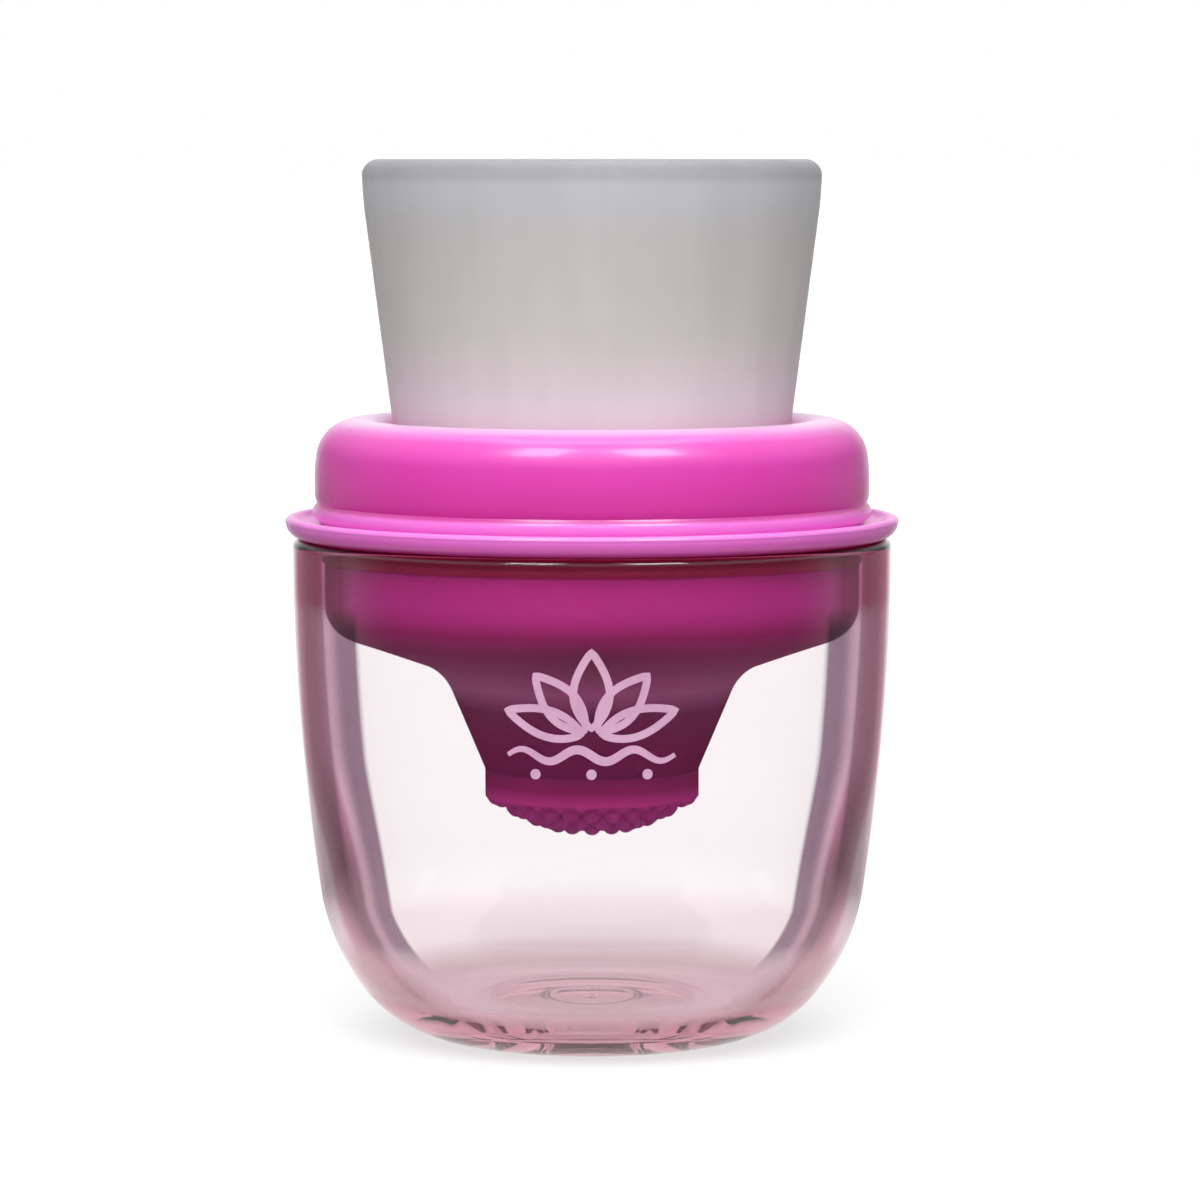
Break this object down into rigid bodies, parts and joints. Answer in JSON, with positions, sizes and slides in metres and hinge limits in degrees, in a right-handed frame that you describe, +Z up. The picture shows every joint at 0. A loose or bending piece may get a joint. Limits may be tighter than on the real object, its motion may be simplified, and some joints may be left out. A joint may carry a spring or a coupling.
{
  "type": "cupping cup",
  "caption": "Squeeze-type cupping cup: a frosted soft bell in a collar, on a funnel stopper with a one-way valve and nubbed cap, standing in a clear round-bottomed cup.",
  "frame": {"origin": "centre of the clear cup's foot, on the plane it stands on", "axes": "+Z up along the common axis, towards the bell's mouth; the part is round about Z"},
  "size_m": [0.07, 0.07, 0.1003],
  "materials": {
    "clear_plastic": "clear, faintly pink",
    "magenta_silicone": "smooth glossy silicone",
    "frosted_silicone": "frosted translucent silicone",
    "seal_rubber": "satin",
    "white_plastic": "plain moulded"
  },
  "bodies": {
    "cup": {"clear_cup": "clear_plastic"},
    "head": {"funnel_stopper": "magenta_silicone", "stopper_seal": "seal_rubber", "valve_seat": "white_plastic"},
    "bell_unit": {"collar": "magenta_silicone", "carrier_ring": "white_plastic", "suction_bell": "frosted_silicone"},
    "valve": {"check_valve": "frosted_silicone"},
    "cap": {"valve_cap": "magenta_silicone"}
  },
  "joints": [
    {"name": "head_lift", "type": "slide", "parent": "cup", "child": "head", "axis": [0, 0, 1], "range_m": [0, 0.06]},
    {"name": "bell_lift", "type": "slide", "parent": "head", "child": "bell_unit", "axis": [0, 0, 1], "range_m": [0, 0.015]},
    {"name": "cap_pull", "type": "slide", "parent": "head", "child": "cap", "axis": [0, 0, -1], "range_m": [0, 0.01]},
    {"name": "valve_open", "type": "slide", "parent": "head", "child": "valve", "axis": [0, 0, -1], "range_m": [0, 0.001], "stiffness_N_per_m": 20, "springref_m": -0.0005}
  ]
}
